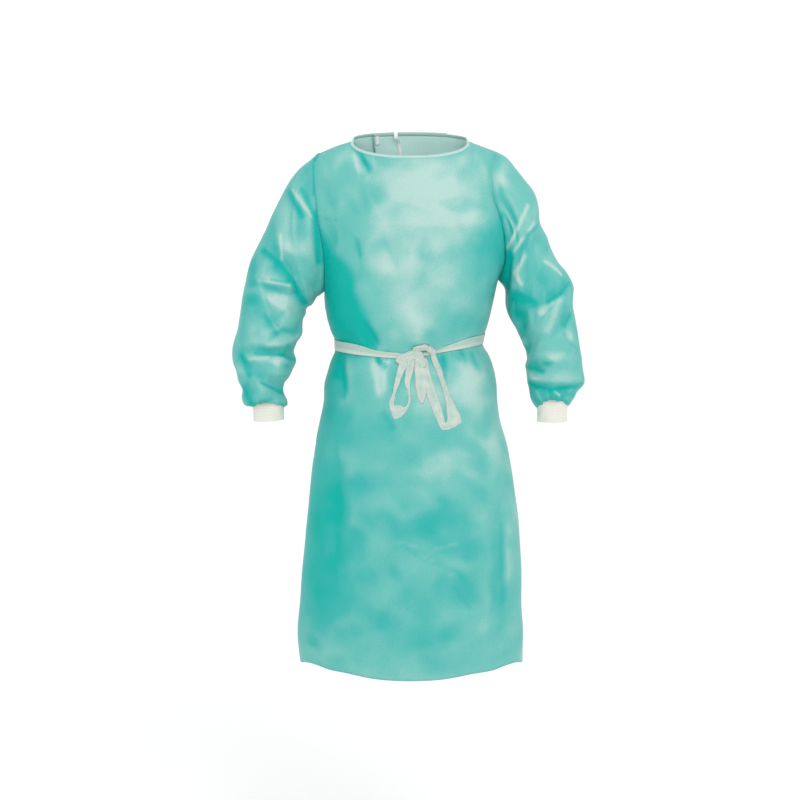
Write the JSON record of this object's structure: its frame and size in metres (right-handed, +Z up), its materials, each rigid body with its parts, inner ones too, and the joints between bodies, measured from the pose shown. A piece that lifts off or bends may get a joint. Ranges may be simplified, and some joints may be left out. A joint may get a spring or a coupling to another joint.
{
  "type": "hospital isolation gown, filled out as worn",
  "caption": "Long-sleeved hospital isolation gown, open at neck, hem and cuffs, lapped at the back, with knitted cuffs, bound neck and a tied tape belt.",
  "frame": {"origin": "middle of the neck opening, at the height of its two sides", "axes": "+Z up along the length of the gown, -Y out of the wearer's front, +X to the wearer's left"},
  "size_m": [0.7369, 0.329, 1.1394],
  "materials": {
    "front_panel": "nonwoven cloth with a soft sheen",
    "back_right_panel": "nonwoven cloth with a soft sheen",
    "back_left_panel": "nonwoven cloth with a soft sheen",
    "sleeve_right": "nonwoven cloth with a soft sheen",
    "sleeve_left": "nonwoven cloth with a soft sheen",
    "cuff_right": "fine rib knit, matt",
    "cuff_left": "fine rib knit, matt",
    "belt": "flat nonwoven tape, matt",
    "belt_knot": "flat nonwoven tape, matt",
    "bow_loop_right": "flat nonwoven tape, matt",
    "bow_loop_left": "flat nonwoven tape, matt",
    "bow_tail": "flat nonwoven tape, matt",
    "neck_binding": "nonwoven binding strip, matt",
    "neck_tie_short": "nonwoven binding strip, matt",
    "neck_tie_long": "nonwoven binding strip, matt",
    "neck_tie_knot": "nonwoven binding strip, matt"
  },
  "bodies": {
    "root": {"front_panel": "front_panel", "back_right_panel": "back_right_panel", "back_left_panel": "back_left_panel", "sleeve_right": "sleeve_right", "sleeve_left": "sleeve_left", "cuff_right": "cuff_right", "cuff_left": "cuff_left", "belt": "belt", "belt_knot": "belt_knot", "bow_loop_right": "bow_loop_right", "bow_loop_left": "bow_loop_left", "bow_tail": "bow_tail", "neck_binding": "neck_binding", "neck_tie_short": "neck_tie_short", "neck_tie_long": "neck_tie_long", "neck_tie_knot": "neck_tie_knot"}
  },
  "joints": []
}
